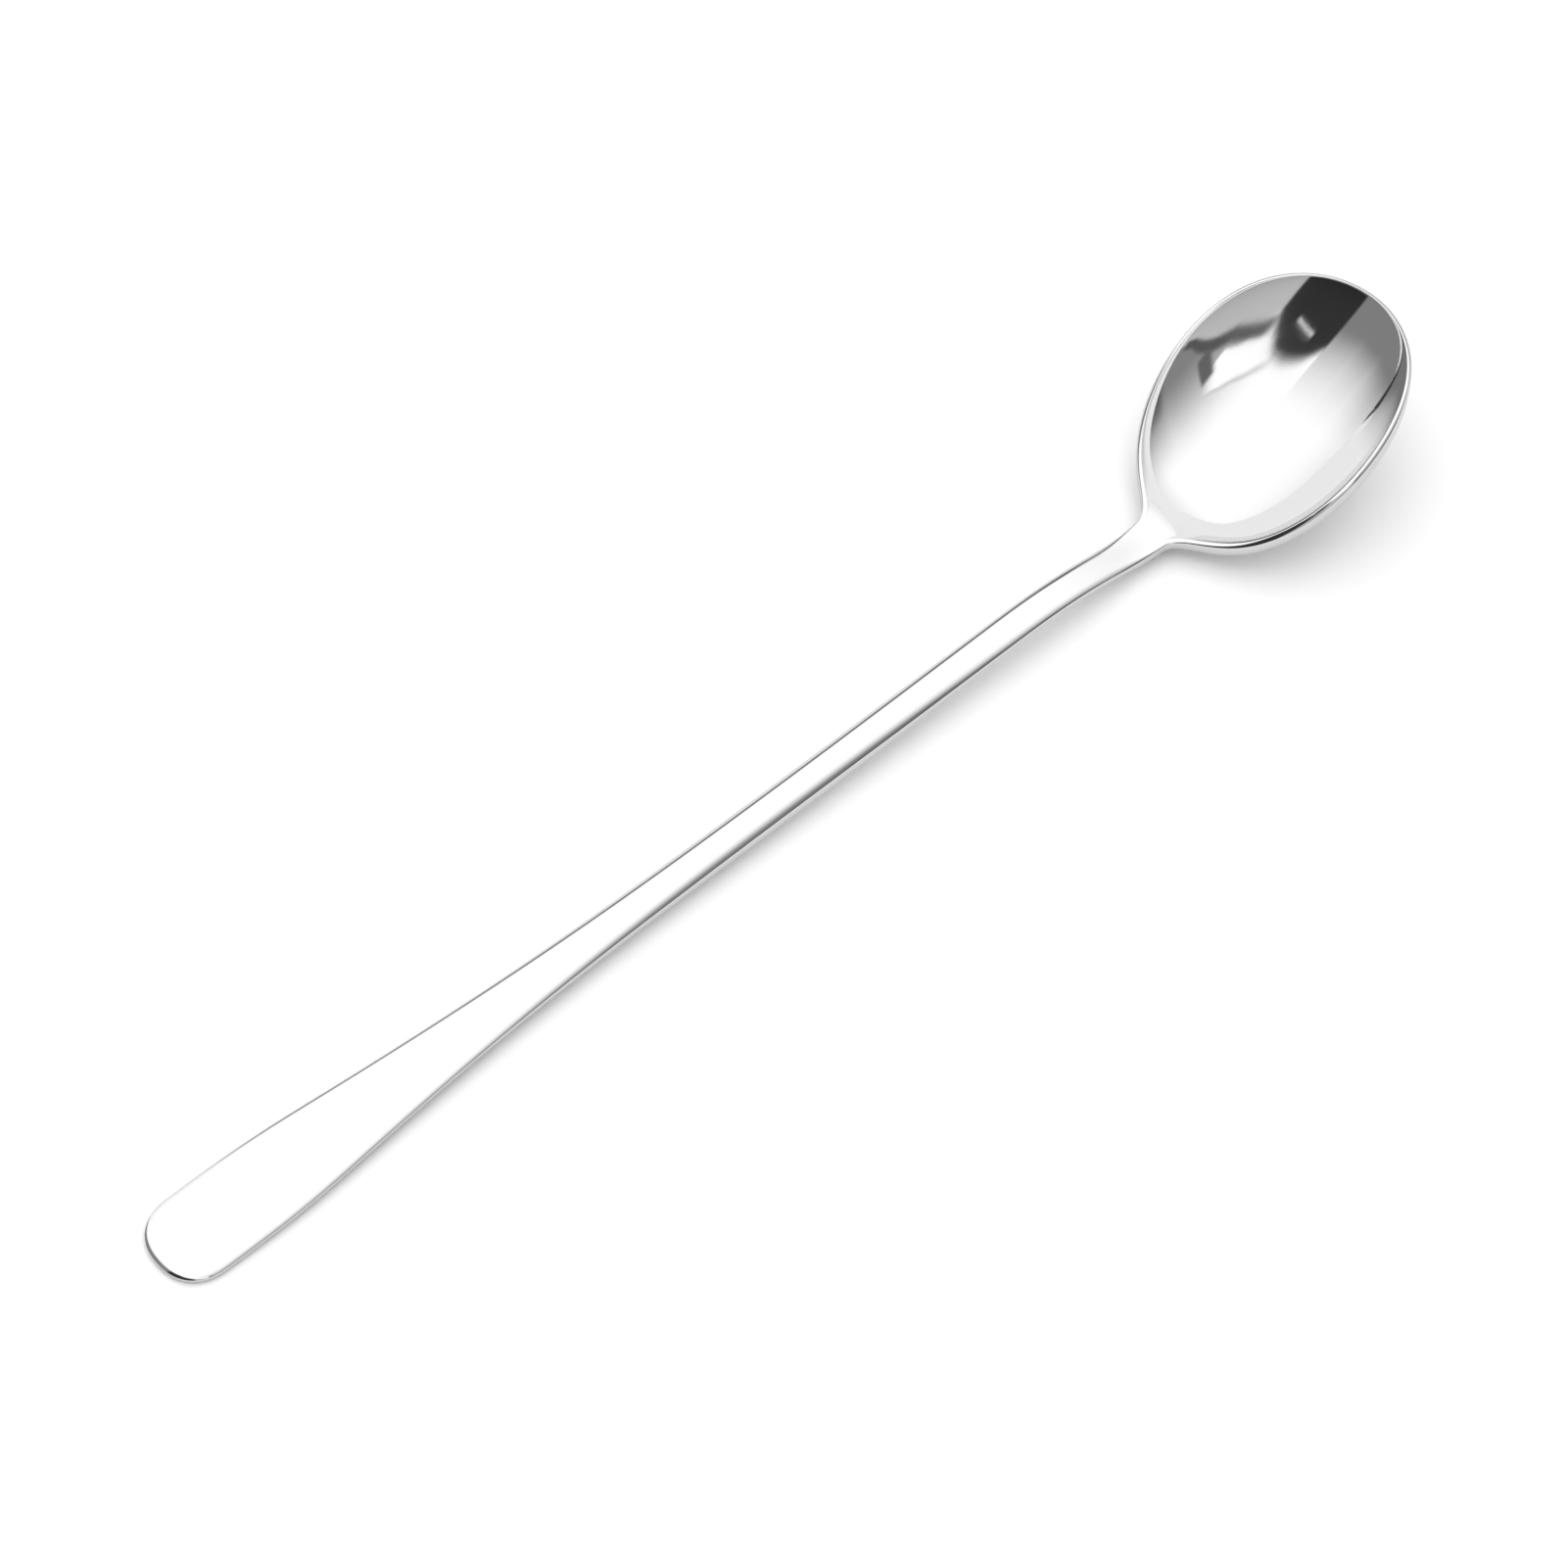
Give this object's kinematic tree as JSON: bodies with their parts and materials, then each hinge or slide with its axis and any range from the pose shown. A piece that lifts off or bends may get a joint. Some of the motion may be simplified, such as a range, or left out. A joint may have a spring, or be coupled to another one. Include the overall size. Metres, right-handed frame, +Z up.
{
  "type": "iced tea spoon",
  "caption": "Long slim stainless steel spoon with a rounded flat handle end, a dipped neck and a deep oval bowl tilted upward, for stirring tall glasses.",
  "frame": {"origin": "centre of the spoon's length and width, on the table that it rests on", "axes": "+X runs along the spoon towards the bowl's tip, +Y across it, +Z up"},
  "size_m": [0.19, 0.03, 0.0182],
  "materials": {
    "polished_steel": "mirror polished stainless steel with faint hairlines"
  },
  "bodies": {
    "root": {"bowl": "polished_steel", "neck": "polished_steel", "shank": "polished_steel", "handle": "polished_steel", "handle_end": "polished_steel"}
  },
  "joints": []
}
